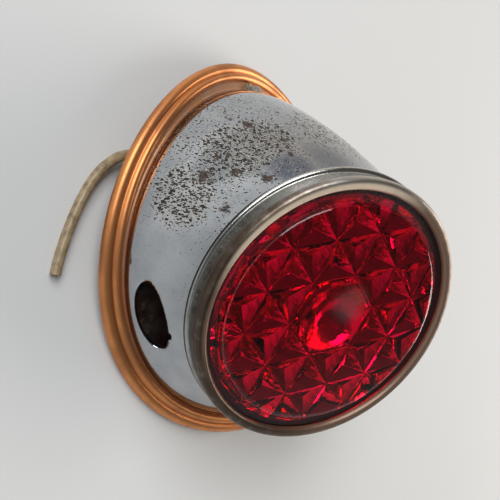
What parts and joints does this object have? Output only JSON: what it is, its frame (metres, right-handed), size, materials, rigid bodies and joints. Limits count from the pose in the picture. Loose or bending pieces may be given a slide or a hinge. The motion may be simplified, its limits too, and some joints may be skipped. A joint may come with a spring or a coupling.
{
  "type": "motorcycle tail light",
  "caption": "Round chromed motorcycle tail light on a copper-plated ring that fits a curved mudguard, with a tilted red prism lens, a side window, a bulb and a feed wire.",
  "frame": {"origin": "centre of the base ring, level with its two lowest points", "axes": "+Z out of the mudguard, +X towards the short side that the lens tilts to, the mudguard's curve about an axis along Y"},
  "size_m": [0.124, 0.124, 0.0741],
  "materials": {
    "copper_plate": "polished",
    "base_steel": "dull",
    "body_chrome": "pitted",
    "bezel_chrome": "worn",
    "screw_steel": "dull",
    "washer_brass": "tarnished",
    "lens_red": "gloss",
    "black_rubber": "matte",
    "spring_steel": "satin",
    "holder_brass": "dull",
    "brown_fibre": "matte",
    "bulb_brass": "satin",
    "black_glass": "gloss",
    "solder": "satin",
    "clear_glass": "gloss",
    "tungsten": "satin",
    "tan_sleeve": "worn",
    "bare_copper": "tarnished"
  },
  "bodies": {
    "base": {"base_ring": "copper_plate", "base_plate": "base_steel", "body_shell": "body_chrome", "fixing_screws": "screw_steel", "fixing_washers": "washer_brass", "holder_cup": "base_steel", "holder_rivets": "screw_steel", "holder_shell": "holder_brass", "insulating_washer": "brown_fibre", "terminal_tag": "holder_brass", "contact_spring": "spring_steel", "wire_grommet": "black_rubber", "wire_lead": "tan_sleeve", "lead_core": "bare_copper", "solder_joint": "solder", "wire_tail": "tan_sleeve", "tail_core": "bare_copper"},
    "bezel": {"bezel_ring": "bezel_chrome", "lens": "lens_red", "lens_gasket": "black_rubber", "retaining_ring": "spring_steel"},
    "contact": {"contact_carrier": "brown_fibre", "contact_stud": "holder_brass"},
    "bulb": {"bulb_cap": "bulb_brass", "bulb_insulator": "black_glass", "bulb_contact": "solder", "bulb_glass": "clear_glass", "bulb_stem": "clear_glass", "bulb_filament": "tungsten"}
  },
  "joints": [
    {"name": "bezel_lift", "type": "slide", "parent": "base", "child": "bezel", "axis": [0.5373, 0, 0.8434], "range_m": [0, 0.06]},
    {"name": "contact_push", "type": "slide", "parent": "base", "child": "contact", "axis": [0, 0, -1], "range_m": [0, 0.002], "stiffness_N_per_m": 2000, "springref_m": -0.002, "deforming": ["contact_spring"]},
    {"name": "bulb_turn", "type": "hinge", "parent": "contact", "child": "bulb", "pos_m": [0.008, 0, 0.03], "axis": [0, 0, 1], "range_deg": [0, 28]}
  ]
}
